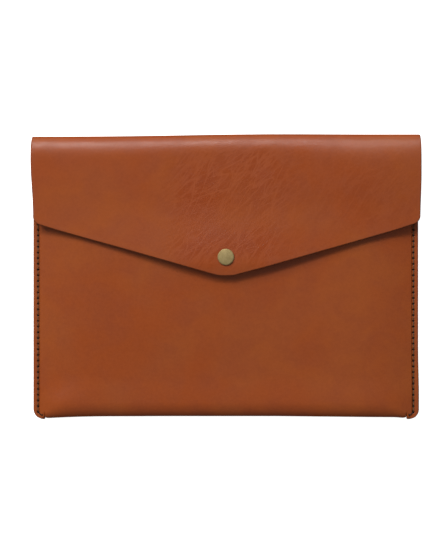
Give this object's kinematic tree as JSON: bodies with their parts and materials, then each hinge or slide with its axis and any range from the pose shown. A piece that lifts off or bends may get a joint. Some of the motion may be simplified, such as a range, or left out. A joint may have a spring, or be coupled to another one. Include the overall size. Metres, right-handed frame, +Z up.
{
  "type": "laptop sleeve",
  "caption": "Slim leather laptop sleeve with a V-shaped flap that folds over the top edge and closes with a brass snap; side seams are saddle stitched in dark waxed thread.",
  "frame": {"origin": "below the middle of the bounding box, on the surface that the back panel rests on", "axes": "+X across the width of the sleeve, +Y from the bottom fold towards the top fold, +Z up through the thickness, out of the flap"},
  "size_m": [0.341, 0.2492, 0.0243],
  "materials": {
    "leather": "smooth vegetable-tanned hide, tan, satin with a fine grain and darker burnished edges",
    "thread": "dark brown waxed thread, low sheen",
    "antique_brass": "antique brass, satin",
    "spring_steel": "bright drawn wire"
  },
  "bodies": {
    "case": {"back_panel": "leather", "bottom_fold": "leather", "front_panel": "leather", "seam_thread_left": "thread", "seam_thread_right": "thread", "snap_stud": "antique_brass", "snap_stud_eyelet": "antique_brass"},
    "fold_1": {"top_fold_strip_1": "leather"},
    "fold_2": {"top_fold_strip_2": "leather"},
    "fold_3": {"top_fold_strip_3": "leather"},
    "fold_4": {"top_fold_strip_4": "leather"},
    "flap": {"flap": "leather", "snap_cap": "antique_brass", "snap_cap_post": "antique_brass", "snap_socket": "antique_brass", "snap_socket_spring": "spring_steel"}
  },
  "joints": [
    {"name": "fold_bend_1", "type": "hinge", "parent": "case", "child": "fold_1", "pos_m": [0, 0.1156, 0], "axis": [-1, 0, 0], "range_deg": [0, 22.23]},
    {"name": "fold_bend_2", "type": "hinge", "parent": "fold_1", "child": "fold_2", "pos_m": [0, 0.1219, 0.00257], "axis": [-1, 0, 0], "range_deg": [0, 44.44]},
    {"name": "fold_bend_3", "type": "hinge", "parent": "fold_2", "child": "fold_3", "pos_m": [0, 0.1246, 0.00882], "axis": [-1, 0, 0], "range_deg": [0, 44.44]},
    {"name": "fold_bend_4", "type": "hinge", "parent": "fold_3", "child": "fold_4", "pos_m": [0, 0.12215, 0.01517], "axis": [-1, 0, 0], "range_deg": [0, 44.44]},
    {"name": "flap_opening", "type": "hinge", "parent": "fold_4", "child": "flap", "pos_m": [0, 0.11596, 0.01799], "axis": [-1, 0, 0], "range_deg": [0, 22.22], "deforming": ["snap_socket_spring"]}
  ],
  "couplings": [
    {"joint": "fold_bend_1", "follows": "flap_opening", "ratio": 1},
    {"joint": "fold_bend_2", "follows": "flap_opening", "ratio": 2},
    {"joint": "fold_bend_3", "follows": "flap_opening", "ratio": 2},
    {"joint": "fold_bend_4", "follows": "flap_opening", "ratio": 2}
  ]
}
